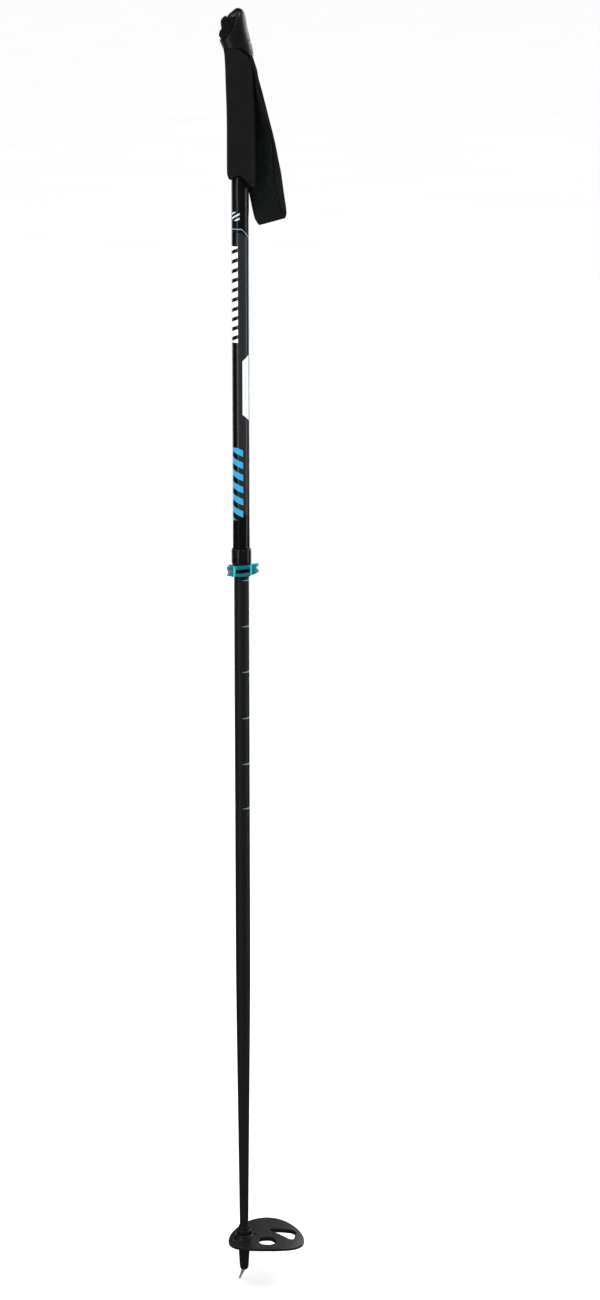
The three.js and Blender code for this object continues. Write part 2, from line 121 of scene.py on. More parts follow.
def extruded(outline, low, high, axis="Y"):
    """An outline cut out of a slab: x and z drawn along Y, or x and y drawn up Z."""
    shape = bmesh.new()
    lift = (lambda a, b: (a, low, b)) if axis == "Y" else (lambda a, b: (a, b, low))
    face = shape.faces.new([shape.verts.new(lift(a, b)) for a, b in outline])
    deep = bmesh.ops.extrude_face_region(shape, geom=[face])["geom"]
    along = (0, high - low, 0) if axis == "Y" else (0, 0, high - low)
    bmesh.ops.translate(shape, verts=[g for g in deep if isinstance(g, bmesh.types.BMVert)], vec=along)
    bmesh.ops.recalc_face_normals(shape, faces=shape.faces)
    return shape


def block(x, y, z):
    """A box between the two ends given for each axis."""
    shape = bmesh.new()
    bmesh.ops.create_cube(shape, size=1)
    size = Matrix.Diagonal((x[1] - x[0], y[1] - y[0], z[1] - z[0], 1))
    shape.transform(Matrix.Translation((sum(x) / 2, sum(y) / 2, sum(z) / 2)) @ size)
    return shape


def cylinder(r, low, high, centre=(0, 0), sides=64):
    """An upright round bar."""
    shape = bmesh.new()
    bmesh.ops.create_cone(
        shape, cap_ends=True, segments=sides, radius1=r, radius2=r, depth=high - low,
        matrix=Matrix.Translation((centre[0], centre[1], (low + high) / 2)),
    )
    return shape


def bend(start, middle, end, steps=8):
    """Points on a quadratic curve, without its start."""
    points = []
    for i in range(1, steps + 1):
        t = i / steps
        weights = ((1 - t) ** 2, 2 * t * (1 - t), t * t)
        points.append(tuple(sum(w * p[k] for w, p in zip(weights, (start, middle, end))) for k in (0, 1)))
    return points


# %% Grids, curves and modifiers
def follow(table, at):
    """The value at a place along a short table of (place, value), on a smooth curve through it."""
    places = [place for place, _ in table]
    at = min(max(at, places[0]), places[-1])
    i = min(max(bisect.bisect_right(places, at) - 1, 0), len(table) - 2)
    (a, p), (b, q) = table[i], table[i + 1]
    (a0, p0), (b1, q1) = table[max(i - 1, 0)], table[min(i + 2, len(table) - 1)]
    start, end = (q - p0) / (b - a0) * (b - a), (q1 - p) / (b1 - a) * (b - a)
    t = (at - a) / (b - a)
    return (
        p * (2 * t**3 - 3 * t**2 + 1) + start * (t**3 - 2 * t**2 + t)
        + q * (3 * t**2 - 2 * t**3) + end * (t**3 - t**2)
    )


def sheet_of(surface, around, along, cut=None):
    """A flat grid bent by surface(u, v), with u and v from 0 to 1; cut is its flat size, for its UV map."""
    shape = bmesh.new()
    bmesh.ops.create_grid(shape, x_segments=around, y_segments=along, size=0.5)
    if cut:
        flat = shape.loops.layers.uv.new("cut")
        for loop in (loop for face in shape.faces for loop in face.loops):
            loop[flat].uv = (loop.vert.co.x * cut[0], loop.vert.co.y * cut[1])
    for vert in shape.verts:
        vert.co = surface(vert.co.x + 0.5, vert.co.y + 0.5)
    return shape


def wrapped(surface, around, along):
    """A bent grid whose left and right sides meet, with its two ends closed."""
    shape = sheet_of(surface, around, along)
    bmesh.ops.remove_doubles(shape, verts=shape.verts, dist=1e-4)
    bmesh.ops.holes_fill(shape, edges=[e for e in shape.edges if e.is_boundary])
    bmesh.ops.recalc_face_normals(shape, faces=shape.faces)
    return shape


def stand_in(shape):
    """A throwaway object that holds a shape while modifiers work on it."""
    mesh = bpy.data.meshes.new("stand_in")
    shape.to_mesh(mesh)
    shape.free()
    made = bpy.data.objects.new("stand_in", mesh)
    bpy.context.scene.collection.objects.link(made)
    return made


def worked(shape, *steps):
    """The shape after a row of modifiers, each (type, settings); a Boolean's object is a shape."""
    blank, tools = stand_in(shape), []
    for kind, settings in steps:
        step = blank.modifiers.new(kind, kind)
        for key, value in settings.items():
            if key == "object":
                value = stand_in(value)
                tools.append(value)
            setattr(step, key, value)
    graph = bpy.context.evaluated_depsgraph_get()
    result = bmesh.new()
    result.from_mesh(bpy.data.meshes.new_from_object(blank.evaluated_get(graph)))
    for spare in (blank, *tools):
        bpy.data.meshes.remove(spare.data)
    return result


def less(tool):
    """The modifier step that cuts a shape away."""
    return "BOOLEAN", {"operation": "DIFFERENCE", "solver": "EXACT", "use_self": True, "object": tool}


def moulded(voxel, smoothing):
    """The modifier steps that run overlapping shapes into one skin and ease its edges, as a mould does."""
    return (
        ("REMESH", {"mode": "VOXEL", "voxel_size": voxel}),
        ("SMOOTH", {"factor": 0.5, "iterations": smoothing}),
    )


def together(*shapes):
    """Several shapes in one."""
    joined = bmesh.new()
    for shape in shapes:
        mesh = bpy.data.meshes.new("joined")
        shape.to_mesh(mesh)
        shape.free()
        joined.from_mesh(mesh)
        bpy.data.meshes.remove(mesh)
    return joined


def eased(shape, width, segments=2, sharper_than=30):
    """The shape with its sharp edges rounded off."""
    limit = math.radians(sharper_than)
    sharp = [e for e in shape.edges if e.is_manifold and e.calc_face_angle(0) > limit]
    bmesh.ops.bevel(
        shape, geom=sharp, offset=width, offset_type="OFFSET", segments=segments,
        profile=0.5, affect="EDGES", material=-1, clamp_overlap=True,
    )
    return shape


# %% Placing a finished piece
def piece(name, shape, material, body, replaces=(), sharp=35):
    """Puts a shape into the frame as one object that rides on a body."""
    shape.transform(PLACE)
    mesh = bpy.data.meshes.new(name)
    shape.to_mesh(mesh)
    shape.free()
    mesh.shade_smooth()
    mesh.set_sharp_from_angle(angle=math.radians(sharp))
    mesh.materials.append(material)
    made = bpy.data.objects.new(name, mesh)
    bpy.context.scene.collection.objects.link(made)
    if body:
        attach(made, body)
    if replaces:
        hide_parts(*replaces)
    print(f"{name}: {len(mesh.polygons)} faces")
    return made


# %% Materials
def linear(code):
    """An sRGB hex colour as linear RGBA."""
    parts = [int(code[i:i + 2], 16) / 255 for i in (1, 3, 5)]
    return (*(c / 12.92 if c <= 0.04045 else ((c + 0.055) / 1.055) ** 2.4 for c in parts), 1)


def add(tree, kind, inputs=None, **settings):
    """Adds one node with its settings, its values and its links."""
    made = tree.nodes.new("ShaderNode" + kind)
    for key, value in settings.items():
        setattr(made, key, value)
    for key, value in (inputs or {}).items():
        if isinstance(value, bpy.types.NodeSocket):
            tree.links.new(value, made.inputs[key])
        else:
            made.inputs[key].default_value = value
    return made


def finish(name, **sockets):
    """A new material, its node tree and its Principled shader with the given sockets set."""
    material = bpy.data.materials.new(name)
    material.use_nodes = True
    tree = material.node_tree
    shader = tree.nodes["Principled BSDF"]
    for key, value in sockets.items():
        shader.inputs[key.replace("_", " ")].default_value = value
    return material, tree, shader


def grained(name, dark, light, grain_mm, bump_mm, roughness, **sockets):
    """A moulded finish: two close tones and a fine relief, both on the piece's own place."""
    material, tree, shader = finish(name, **sockets)
    place = add(tree, "TexCoord").outputs["Object"]
    grain = add(tree, "TexNoise", {"Vector": place, "Scale": 1000 / grain_mm, "Detail": 3})
    clouds = add(tree, "TexNoise", {"Vector": place, "Scale": 1000 / (grain_mm * 24), "Detail": 2})
    tone = add(tree, "MapRange", {"Value": clouds.outputs["Fac"], "From Min": 0.35, "From Max": 0.65})
    colour = add(
        tree, "Mix", {"Factor": tone.outputs["Result"], 6: linear(dark), 7: linear(light)}, data_type="RGBA",
    )
    spread = add(
        tree, "MapRange",
        {"Value": grain.outputs["Fac"], "To Min": roughness - 0.06, "To Max": roughness + 0.06},
    )
    relief = add(tree, "Bump", {"Height": grain.outputs["Fac"], "Distance": bump_mm / 1000, "Strength": 1.0})
    tree.links.new(colour.outputs[2], shader.inputs["Base Color"])
    tree.links.new(spread.outputs["Result"], shader.inputs["Roughness"])
    tree.links.new(relief.outputs["Normal"], shader.inputs["Normal"])
    return material


print("bench tools ready")

# %% [markdown]
# ## Studio
#
# A black pole is lit the way a bottle is: an even pale room gives soft light all round, and a few
# tall strip lamps draw the clean lines that run down a lacquered tube. Smaller lamps light what
# leans back: two high in front for the clamp's shoulder, one high on the left for the lock and the
# cheeks, one behind on the right for the back of the head, and a weak flat one straight behind
# that skims the lever's upper edges. The room and the floor stay out of mirror reflections, so
# that the tube's edges turn dark and not white. The floor runs so far back that the camera, which
# looks down on it, never sees its end.

# %% The floor and the room
FLOOR_WIDTH, FLOOR_FRONT, FLOOR_BACK = 60, -30, 260
ROOM_LIGHT = 1.08


def matt_pale_board():
    """Matt painted board: nearly white, with broad faint clouds, so that only the soft shadow shows."""
    material, tree, shader = finish("matt_pale_board", Roughness=0.95, IOR=1.3)
    place = add(tree, "TexCoord").outputs["Object"]
    clouds = add(tree, "TexNoise", {"Vector": place, "Scale": 0.8, "Detail": 2})
    tone = add(
        tree, "Mix", {"Factor": clouds.outputs["Fac"], 6: linear("#fdfdfd"), 7: linear("#f8f8f8")},
        data_type="RGBA",
    )
    tree.links.new(tone.outputs[2], shader.inputs["Base Color"])
    return material


floor_shape = bmesh.new()
bmesh.ops.create_grid(floor_shape, x_segments=1, y_segments=1, size=0.5)
floor_size = Matrix.Diagonal((FLOOR_WIDTH, FLOOR_BACK - FLOOR_FRONT, 1, 1))
floor_shape.transform(Matrix.Translation((0, (FLOOR_BACK + FLOOR_FRONT) / 2, 0)) @ floor_size)
studio_floor = stand_in(floor_shape)
studio_floor.name = studio_floor.data.name = "studio_floor"
studio_floor.data.materials.append(matt_pale_board())
studio_floor.visible_glossy = False

world = bpy.data.worlds.new("studio")
bpy.context.scene.world = world
world.use_nodes = True
room = world.node_tree.nodes["Background"]
room.inputs["Color"].default_value = (1, 1, 1, 1)
room.inputs["Strength"].default_value = ROOM_LIGHT
world.cycles_visibility.glossy = False


# %% The lamps
def strip_lamp(name, azimuth, distance, width, height, middle, power, aim=None):
    """A soft lamp facing the pole, level unless aimed; azimuth 0 is the camera's side, 90 the right."""
    data = bpy.data.lights.new(name, "AREA")
    data.shape = "RECTANGLE"
    data.size, data.size_y = width, height
    data.energy = power
    lamp = bpy.data.objects.new(name, data)
    bpy.context.scene.collection.objects.link(lamp)
    turn = math.radians(azimuth)
    place = Vector((math.sin(turn) * distance, -math.cos(turn) * distance, middle))
    target = Vector((0, 0, middle if aim is None else aim))
    facing = (target - place).to_track_quat("-Z", "Y")
    lamp.matrix_world = Matrix.Translation(place) @ facing.to_matrix().to_4x4()
    lamp.visible_camera = False
    return lamp


strip_lamp("left_strip", -40, 2.6, 0.10, 3.0, 1.0, 10)
strip_lamp("right_strip", 84, 2.4, 0.25, 3.0, 1.0, 9)
strip_lamp("front_left", -40, 1.3, 0.4, 0.5, 2.9, 8, aim=0.85)
strip_lamp("front_right", 40, 1.3, 0.4, 0.5, 2.9, 8, aim=0.85)
strip_lamp("top_left", -100, 2.2, 0.8, 0.8, 3.0, 16)
strip_lamp("head_rim", 118, 2.2, 1.0, 0.55, 1.92, 15)
strip_lamp("back_right", 150, 2.4, 0.7, 2.4, 1.3, 18)
strip_lamp("back_left", -140, 2.4, 0.5, 2.4, 1.3, 8)
strip_lamp("middle_back", 180, 1.9, 0.9, 0.24, 1.28, 1.6)
print("studio: floor, room and", len(bpy.data.lights), "lamps")
# %% [markdown]
# ## Upper tube
#
# The real tube is drawn aluminium, lacquered gloss black and printed. A turned profile gives the
# tube and its wall in one go, and 128 steps keep its reflections straight. The print is a plain
# pattern of this script's own: bars and panels on the lacquer, placed by the distance round the
# tube from the line that faces front, and by the height.

# %% Print on the upper tube
UPPER_R = radius("upper_tube")
PANEL_TOP, OUTLINE_FOOT, OUTLINE_EDGE = 1177, 962, 12.4
OUTLINE_WIDTH, PANEL_INSET, CHAMFER_START = 0.9, 4.2, 1.6
WHITE_BARS_WAY, WHITE_BARS_HEIGHT = (-12.5, -2.6), (1060, 1159)
BLUE_BARS_WAY, BLUE_BARS_HEIGHT = (-12.0, 2.2), (873, 950)
SHORT_BARS_WAY, SHORT_BARS_HEIGHT = (-10.5, -0.5), (1185, 1194)
PLATE_WAY, PLATE_MIDDLE, PLATE_HALF, PLATE_SLOPE = (1.9, 9.9), 1013.0, 28.0, 0.78
DOTS_WAY, DOTS_HEIGHT = (5.2, 6.4), (988, 1033)


def tube_print_places(tree, tube_radius):
    """Two sockets in millimetres: the way round the tube from its front line, and the height."""
    place = add(tree, "TexCoord").outputs["Object"]
    shift, to_mm = (-SHAFT_X * 1000, 0, 0), (1000, 1000, 1000)
    centred = add(tree, "Mapping", {"Vector": place, "Location": shift, "Scale": to_mm})
    split = add(tree, "SeparateXYZ", {"Vector": centred.outputs["Vector"]})
    front = add(tree, "Math", {0: split.outputs["Y"], 1: -1.0}, operation="MULTIPLY")
    angle = add(tree, "Math", {0: split.outputs["X"], 1: front.outputs[0]}, operation="ARCTAN2")
    way = add(tree, "Math", {0: angle.outputs[0], 1: tube_radius}, operation="MULTIPLY")
    return way.outputs[0], split.outputs["Z"]


def patch(tree, *limits):
    """1 where every (value, low, high) lies inside its limits, and 0 elsewhere."""
    result = 1.0
    for value, low, high in limits:
        near = add(tree, "Math", {0: value, 1: (low + high) / 2, 2: (high - low) / 2}, operation="COMPARE")
        result = add(tree, "Math", {0: near.outputs[0], 1: result}, operation="MULTIPLY").outputs[0]
    return result


def bars(tree, way, height, pitch, share, slant):
    """Slanting bars stacked up the tube, each filling a share of its pitch."""
    shifted = add(tree, "Math", {0: way, 1: -slant, 2: height}, operation="MULTIPLY_ADD").outputs[0]
    turns = add(tree, "Math", {0: shifted, 1: 1 / pitch}, operation="MULTIPLY").outputs[0]
    part = add(tree, "Math", {0: turns}, operation="FRACT").outputs[0]
    return add(tree, "Math", {0: part, 1: share}, operation="LESS_THAN").outputs[0]


def printed(tree, under, colour, *masks):
    """One print colour laid over what is under it, where every mask is 1."""
    where = 1.0
    for mask in masks:
        where = add(tree, "Math", {0: mask, 1: where}, operation="MULTIPLY").outputs[0]
    return add(tree, "Mix", {"Factor": where, 6: under, 7: linear(colour)}, data_type="RGBA").outputs[2]


def lacquered_tube():
    """Drawn aluminium under gloss black lacquer, with a printed panel: deep black, clean thin lights."""
    material, tree, shader = finish(
        "gloss_lacquered_tube", Roughness=0.32, IOR=1.5, Coat_Weight=0.6, Coat_Roughness=0.12,
    )
    way, height = tube_print_places(tree, UPPER_R)
    past = add(tree, "Math", {0: way, 1: CHAMFER_START}, operation="SUBTRACT").outputs[0]
    chamfer = add(tree, "Math", {0: past, 1: 0.0}, operation="MAXIMUM").outputs[0]
    below = add(tree, "Math", {0: PANEL_TOP, 1: height}, operation="SUBTRACT").outputs[0]
    below = add(tree, "Math", {0: below, 1: chamfer}, operation="SUBTRACT").outputs[0]
    beside = add(tree, "Math", {0: OUTLINE_EDGE, 1: way}, operation="SUBTRACT").outputs[0]
    depth = add(tree, "Math", {0: below, 1: beside}, operation="MINIMUM").outputs[0]
    outline = patch(tree, (depth, 0, OUTLINE_WIDTH), (way, -10.5, 20), (height, OUTLINE_FOOT, 1200))
    panel = patch(tree, (depth, PANEL_INSET, 400), (way, -4.6, 8.6), (height, 880, 1200))
    colour = printed(tree, linear("#0b0b0d"), "#25282b", panel)
    colour = printed(tree, colour, "#6fa3ba", outline)

    white_bars = bars(tree, way, height, 9.9, 0.60, 0.35)
    white_place = patch(tree, (way, *WHITE_BARS_WAY), (height, *WHITE_BARS_HEIGHT))
    colour = printed(tree, colour, "#eef0f0", white_bars, white_place)
    in_from_side = add(tree, "Math", {0: way, 1: PLATE_WAY[0]}, operation="SUBTRACT").outputs[0]
    rise = add(
        tree, "Math", {0: in_from_side, 1: PLATE_SLOPE, 2: PLATE_HALF}, operation="MULTIPLY_ADD",
    ).outputs[0]
    from_middle = add(tree, "Math", {0: height, 1: PLATE_MIDDLE}, operation="SUBTRACT").outputs[0]
    from_middle = add(tree, "Math", {0: from_middle}, operation="ABSOLUTE").outputs[0]
    in_plate = add(tree, "Math", {0: from_middle, 1: rise}, operation="LESS_THAN").outputs[0]
    colour = printed(tree, colour, "#e9eef1", in_plate, patch(tree, (way, *PLATE_WAY)))
    dots = bars(tree, way, height, 2.4, 0.5, 0.0)
    dots_place = patch(tree, (way, *DOTS_WAY), (height, *DOTS_HEIGHT))
    colour = printed(tree, colour, "#8fa3b0", dots, dots_place)
    blue_bars = bars(tree, way, height, 12.9, 0.52, -0.45)
    blue_place = patch(tree, (way, *BLUE_BARS_WAY), (height, *BLUE_BARS_HEIGHT))
    colour = printed(tree, colour, "#2a9fd0", blue_bars, blue_place)
    short_bars = bars(tree, way, height, 4.6, 0.42, 0.5)
    short_place = patch(tree, (way, *SHORT_BARS_WAY), (height, *SHORT_BARS_HEIGHT))
    colour = printed(tree, colour, "#c8d6dc", short_bars, short_place)

    grain = add(
        tree, "TexNoise",
        {"Vector": add(tree, "TexCoord").outputs["Object"], "Scale": 900.0, "Detail": 2},
    )
    gloss = add(tree, "MapRange", {"Value": grain.outputs["Fac"], "To Min": 0.28, "To Max": 0.36})
    tree.links.new(colour, shader.inputs["Base Color"])
    tree.links.new(gloss.outputs["Result"], shader.inputs["Roughness"])
    return material


# %% The upper tube
UPPER_WALL = 0.7
upper_low, upper_high = heights("upper_tube")
UPPER_BORE = UPPER_R - UPPER_WALL
upper_shape = spun(
    [(UPPER_BORE, upper_low), (UPPER_R, upper_low), (UPPER_R, upper_high), (UPPER_BORE, upper_high)],
    steps=128, closed=True,
)
piece(
    "upper_tube_lacquered", eased(upper_shape, 0.15), lacquered_tube(), "upper_section",
    ["upper_tube"],
)

# %% [markdown]
# ## Lower tube
#
# The lower tube slides in the upper one, so its finish is thinner and duller: a satin anodised
# black. It tapers over its last third. Short printed ticks, one every 50 mm, show the length; on
# this pole they start thin at the front and widen round the tube.

# %% Satin finish with ticks
TICK_HEIGHTS = (808, 758, 708, 657, 606, 556)
TICK_START, TICK_END, TICK_THIN, TICK_WIDENING = 0.3, 12.5, 0.15, 0.075


def satin_tube():
    """Black anodised aluminium: an even dark grey with a soft wide light and no clear reflections."""
    material, tree, shader = finish("satin_anodised_tube", IOR=1.5, Roughness=0.42)
    way, height = tube_print_places(tree, radius("lower_tube"))
    place = add(tree, "TexCoord").outputs["Object"]
    drawn = add(tree, "Mapping", {"Vector": place, "Scale": (1, 1, 0.02)})
    lines = add(tree, "TexNoise", {"Vector": drawn.outputs["Vector"], "Scale": 1600.0, "Detail": 2})
    tone = add(
        tree, "Mix", {"Factor": lines.outputs["Fac"], 6: linear("#0f1112"), 7: linear("#17191a")},
        data_type="RGBA",
    )
    colour = tone.outputs[2]
    for tick in TICK_HEIGHTS:
        off = add(tree, "Math", {0: height, 1: float(tick)}, operation="SUBTRACT").outputs[0]
        off = add(tree, "Math", {0: off}, operation="ABSOLUTE").outputs[0]
        half = add(
            tree, "Math", {0: way, 1: TICK_WIDENING, 2: TICK_THIN}, operation="MULTIPLY_ADD",
        ).outputs[0]
        mark = add(tree, "Math", {0: off, 1: half}, operation="LESS_THAN").outputs[0]
        colour = printed(tree, colour, "#67808f", mark, patch(tree, (way, TICK_START, TICK_END)))
    gloss = add(tree, "MapRange", {"Value": lines.outputs["Fac"], "To Min": 0.36, "To Max": 0.50})
    tree.links.new(colour, shader.inputs["Base Color"])
    tree.links.new(gloss.outputs["Result"], shader.inputs["Roughness"])
    return material


# %% The lower tube
LOWER_R, LOWER_WALL = radius("lower_tube"), 0.8
lower_low, lower_high = heights("lower_tube")
outside = [
    (LOWER_R - 3.4, lower_low), (LOWER_R - 3.2, 62), (LOWER_R - 0.5, 311), (LOWER_R - 0.12, 360),
    (LOWER_R, 400), (LOWER_R, lower_high),
]
inside_wall = [(r - LOWER_WALL, z) for r, z in reversed(outside)]
piece(
    "lower_tube_satin", spun(outside + inside_wall, steps=128, closed=True), satin_tube(),
    "lower_section", ["lower_tube"],
)

# %% [markdown]
# ## Grip head
#
# The head is injection moulded in hard black plastic: a hood over the strap lock, two cheeks that
# slope down from it, and a hump at the back that the thumb rests on. A grid wrapped into a closed
# shell gives the outer form from three short tables: its front, its back and its half width at
# each height. The lock's recess, the seam and the strap's way out are then cut with slabs. A web
# under the hood closes the view between the cheeks, and a core runs down inside the foam. A fine
# remesh eases every edge the way a mould does.

# %% Moulded plastic
# The mould's fine texture breaks each lamp up into a soft patch, so the head stays dark and dull.
moulded_plastic = grained("moulded_plastic", "#0c0d0f", "#131416", 0.9, 0.05, 0.38, IOR=1.5)
print(moulded_plastic.name, "made")

# %% The head's outer form
HEAD_LOW, HEAD_HIGH = 1343, 1397.3
head_front = [
    (1343, -15.2), (1354, -16.0), (1357.5, -17.2), (1361, -18.4), (1364, -19.8), (1366.6, -20.4),
    (1371, -20.4), (1378, -19.0), (1384, -16.6), (1389.6, -12.2), (1392, -9.8), (1394, -7.4),
    (1395.7, -5.3), (1396.8, -3.9), (1397.3, -2.3),
]
head_back = [
    (1343, 14.6), (1347, 14.3), (1354, 13.8), (1359.6, 12.8), (1362.4, 12.0), (1363.4, 11.2),
    (1366.2, 11.0), (1371.6, 9.6), (1378, 8.0), (1384, 6.9), (1390, 5.8), (1393.4, 4.5), (1395.7, 2.7),
    (1396.9, 0.6), (1397.3, -1.5),
]
head_width = [
    (1343, 13.2), (1357.5, 13.4), (1368, 13.2), (1378, 12.4), (1386, 11.2), (1391.5, 9.2), (1394.6, 6.9),
    (1396.4, 4.2), (1397.1, 2.2), (1397.3, 0.8),
]


def round_section(front, back, half_width, turn, squareness=2.3):
    """A point on a rounded section between a front and a back, at a share of a full turn."""
    c, s = math.cos(turn * 2 * math.pi), math.sin(turn * 2 * math.pi)
    reach = (back - front) / 2
    x = (front + back) / 2 + math.copysign(abs(c) ** (2 / squareness), c) * reach
    return x, math.copysign(abs(s) ** (2 / squareness), s) * half_width


def head_form(u, v):
    z = HEAD_LOW + (HEAD_HIGH - HEAD_LOW) * (1 - (1 - v) ** 1.6)
    x, y = round_section(follow(head_front, z), follow(head_back, z), follow(head_width, z), u)
    return x, y, z


# %% Cuts in the head, its web and its core
cheek_edge = [
    (-14.8, 1366.0), (-11.2, 1370.2), (-7.7, 1374.6), (-5.2, 1378.8), (-3.6, 1383.2), (-2.8, 1387.4),
]
hood_under = [(-4.0, 1388.6), (-10.4, 1388.0), (-12.4, 1390.0)]
recess = [(-40, 1366.5), (-18.6, 1366.4), (-16.2, 1365.4), *cheek_edge, *hood_under, (-40, 1390.0)]
below_seam = [
    (-40, 1330), (40, 1330), (40, 1339), (14.4, 1343.6), (11, 1350.3), (7.5, 1353.4), (2, 1357.8),
    (-40, 1357.8),
]
LOCK_CENTRE, LOCK_LEAN = Vector((-14, 1375.8)), math.atan2(0.6, 0.8)


def lock_outline(points):
    """Points given along the lock's slide and across it, as x and z."""
    sin, cos = math.sin(LOCK_LEAN), math.cos(LOCK_LEAN)
    return [(LOCK_CENTRE.x - s * sin + n * cos, LOCK_CENTRE.y + s * cos + n * sin) for s, n in points]


lock_room = lock_outline([
    (-11.4, -9.2), (-7, -9.6), (30, -9.6), (30, 8.7), (8.0, 8.7), (7.6, 13.4), (-4, 13.4), (-9, 8.6),
    (-11.4, 4.4),
])
strap_way = [
    (3.7, 1359.9), (8.6, 1351.4), (14, 1343.5), (19, 1344), (14.9, 1347), (11.6, 1354), (7.5, 1362.1),
]
under_hood = [
    (-11.8, 1389.4), *lock_outline([(9.4, 8.7), (7.6, 7.6), (-5.4, 7.6)]), (1.5, 1376), (1.5, 1391),
    (-9.4, 1391),
]
CORE_R, CORE_LOW, CORE_HIGH = 11.2, 1341.6, 1361
outer = worked(
    wrapped(head_form, 96, 56), less(extruded(recess, -20, 20)), less(extruded(below_seam, -20, 20)),
)
solid_head = together(outer, extruded(under_hood, -8.4, 8.4), cylinder(CORE_R, CORE_LOW, CORE_HIGH))
head = worked(
    solid_head, less(extruded(lock_room, -7.3, 7.3)), less(extruded(strap_way, -7.6, 7.6)),
    *moulded(0.42, 5),
)
grip_head = piece(
    "grip_head_moulded", head, moulded_plastic, "upper_section", ["grip_head"], sharp=180,
)

# %% [markdown]
# ## Strap lock
#
# The lock is a wedge that the strap's pull draws tighter. It has a narrow stem between the cheeks
# and a wide ribbed cap in front of them, for the thumb to knock it loose. Its outline is drawn in
# its own slanting directions, then cut out of a slab.

# %% The lock
lock_profile = lock_outline([
    (-11, -8), (-7, -9.1), (-4.4, -9.2), (0, -8.6), (2.4, -5.8), (3.2, -4.0), (2.8, -3.0), (4.4, -2.0),
    (9.0, 0.6), (10.8, 2.8), (11.6, 6.0), (11.2, 8.4), (9.2, 8.4), (7.4, 8), (-5, 8), (-9, 4),
])
beside_cheek = [(x - 0.45, z + 0.2) for x, z in cheek_edge]
cheek = [(30, 1300), (-40, 1300), (-40, 1366.9), (-18.6, 1366.8), (-16.2, 1365.8), *beside_cheek, (30, 1391)]
behind_cap = lock_outline([(-12, 7.1), (14, 7.1), (14, 20), (-12, 20)])
cap = worked(
    extruded(lock_profile, -10, 10), less(extruded(cheek, -30, 30)), less(extruded(behind_cap, -30, 30)),
)
lock = worked(together(extruded(lock_profile, -7, 7), cap), *moulded(0.36, 5))
piece(
    "strap_lock_moulded", lock, moulded_plastic, "strap_lock", ["strap_lock"], sharp=180,
)

# %% [markdown]
# ## Foam grip
#
# The sleeve under the head is moulded EVA foam: charcoal, quite matt, and soft to look at because
# its lower lip is thick and round. It is long, so that the hand can take hold lower on a climb,
# and its end is cut slanting with a small peak at the side. The wall is a grid wrapped round the
# tube between two edge curves; its rims are pulled in to the bore, and the lower one is rounded over.

# %% Foam
def eva_foam():
    """Closed-cell foam: hardly any gloss, faint mottling and a skin of very fine pores."""
    # real pores are near 0.3 mm; they are drawn coarser, so that the skin still looks open
    pore_mm, mottle_mm = 0.9, 14
    material, tree, shader = finish(
        "moulded_eva_foam", IOR=1.45, Roughness=0.86, Specular_IOR_Level=0.2,
    )
    place = add(tree, "TexCoord").outputs["Object"]
    pores = add(tree, "TexVoronoi", {"Vector": place, "Scale": 1000 / pore_mm})
    mottle = add(tree, "TexNoise", {"Vector": place, "Scale": 1000 / mottle_mm, "Detail": 3})
    colour = add(
        tree, "Mix", {"Factor": mottle.outputs["Fac"], 6: linear("#0c0d0e"), 7: linear("#161718")},
        data_type="RGBA",
    )
    relief = add(tree, "Bump", {"Height": pores.outputs["Distance"], "Distance": 0.00007, "Strength": 0.7})
    tree.links.new(colour.outputs[2], shader.inputs["Base Color"])
    tree.links.new(relief.outputs["Normal"], shader.inputs["Normal"])
    return material


# %% The foam sleeve
foam_front = [
    (1214, -12.6), (1228, -13.2), (1240, -13.5), (1281, -13.4), (1304, -13.8), (1316, -14.2), (1335, -14.7),
    (1347, -15.2), (1354, -15.9), (1357, -16.6),
]
foam_back = [(1214, 16), (1300, 16), (1320, 15.8), (1335, 15.1), (1343, 13.6), (1350, 12.4), (1357, 12.0)]
foam_width = [(1214, 13.6), (1235, 14.2), (1300, 14.2), (1340, 13.8), (1357, 13.4)]
lower_edge = [
    (-13.3, 1230.8), (-12.2, 1227.4), (-10.0, 1226.2), (-7, 1228.2), (-3, 1230.8), (0.5, 1230.2),
    (6.4, 1226.2), (10.5, 1222.4), (14.2, 1218.4), (16, 1219.4),
]
upper_edge = [
    (-15.2, 1357.5), (1.5, 1357.5), (4.5, 1355.8), (7.5, 1352.8), (11, 1348.6), (12.6, 1346.0),
    (14.2, 1341.8), (15.2, 1338.2), (16, 1335),
]
FOAM_BORE, FOAM_TOP_BORE = UPPER_R + 0.3, CORE_R + 0.3


def foam_wall(u, v):
    x, y = round_section(-13.3, 16, 14.2, u)
    bottom, top = follow(lower_edge, x), follow(upper_edge, min(x, 14.8))
    z = bottom + (top - bottom) * v
    x, y = round_section(follow(foam_front, z), follow(foam_back, z), follow(foam_width, z), u)
    return x, y, z


